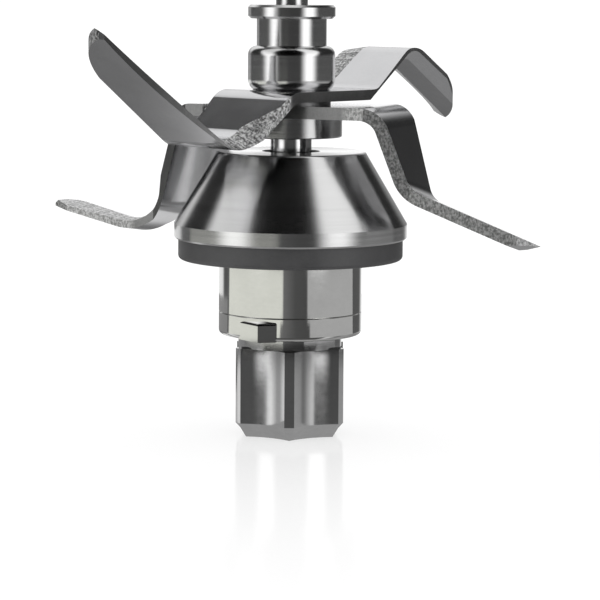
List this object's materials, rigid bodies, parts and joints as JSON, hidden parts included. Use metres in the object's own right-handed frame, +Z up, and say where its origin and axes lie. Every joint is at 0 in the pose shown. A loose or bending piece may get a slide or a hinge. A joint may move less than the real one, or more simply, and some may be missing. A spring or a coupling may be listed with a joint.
{
  "type": "blender blade assembly",
  "caption": "Jug blender cutting unit: bent stainless arms on a spindle that runs in a cone housing with a gasket, bayonet sleeve and lobed drive coupling.",
  "frame": {"origin": "centre of the drive coupling's lower face, on the spindle axis", "axes": "+Z up along the spindle towards the cap nut; the front seen in the picture faces -Y"},
  "size_m": [0.1042, 0.0899, 0.0945],
  "materials": {
    "coupling_steel": "satin polished steel",
    "screw_steel": "dark zinc plated",
    "washer_steel": "plain rolled",
    "spindle_steel": "ground and polished",
    "sleeve_steel": "smooth turned and polished",
    "shield_plastic": "matt black",
    "gasket_rubber": "matt dark grey",
    "cone_steel": "fine turned stainless steel",
    "bearing_steel": "ground",
    "ball_steel": "mirror polished",
    "cage_plastic": "natural nylon",
    "spacer_aluminium": "turned",
    "spring_steel": "blackened",
    "seal_rubber": "black nitrile rubber",
    "wear_sleeve_steel": "polished",
    "collar_steel": "turned",
    "blade_steel": "satin tumbled with light ground edges",
    "shim_steel": "plain rolled",
    "nut_steel": "turned and polished"
  },
  "bodies": {
    "housing": {"bearing_sleeve": "sleeve_steel", "foot_shield": "shield_plastic", "gasket": "gasket_rubber", "cone_housing": "cone_steel", "lower_bearing_outer_ring": "bearing_steel", "outer_spacer": "spacer_aluminium", "upper_bearing_outer_ring": "bearing_steel", "retaining_ring": "spring_steel", "shaft_seal": "seal_rubber"},
    "rotor": {"spindle": "spindle_steel", "drive_coupling": "coupling_steel", "coupling_screw": "screw_steel", "coupling_washer": "washer_steel", "lower_bearing_inner_ring": "bearing_steel", "inner_spacer": "spacer_aluminium", "upper_bearing_inner_ring": "bearing_steel", "wear_sleeve": "wear_sleeve_steel", "blade_collar": "collar_steel", "lower_blade": "blade_steel", "blade_shim": "shim_steel", "upper_blade": "blade_steel", "cap_nut": "nut_steel"},
    "lower_ball_set": {"lower_bearing_balls": "ball_steel", "lower_bearing_cage": "cage_plastic"},
    "upper_ball_set": {"upper_bearing_balls": "ball_steel", "upper_bearing_cage": "cage_plastic"}
  },
  "joints": [
    {"name": "blade_spin", "type": "hinge", "parent": "housing", "child": "rotor", "pos_m": [0, 0, 0], "axis": [0, 0, 1], "continuous": true},
    {"name": "lower_ball_orbit", "type": "hinge", "parent": "housing", "child": "lower_ball_set", "pos_m": [0, 0, 0.0268], "axis": [0, 0, 1], "continuous": true},
    {"name": "upper_ball_orbit", "type": "hinge", "parent": "housing", "child": "upper_ball_set", "pos_m": [0, 0, 0.0509], "axis": [0, 0, 1], "continuous": true}
  ],
  "couplings": [
    {"joint": "lower_ball_orbit", "follows": "blade_spin", "ratio": 0.368},
    {"joint": "upper_ball_orbit", "follows": "blade_spin", "ratio": 0.368}
  ]
}
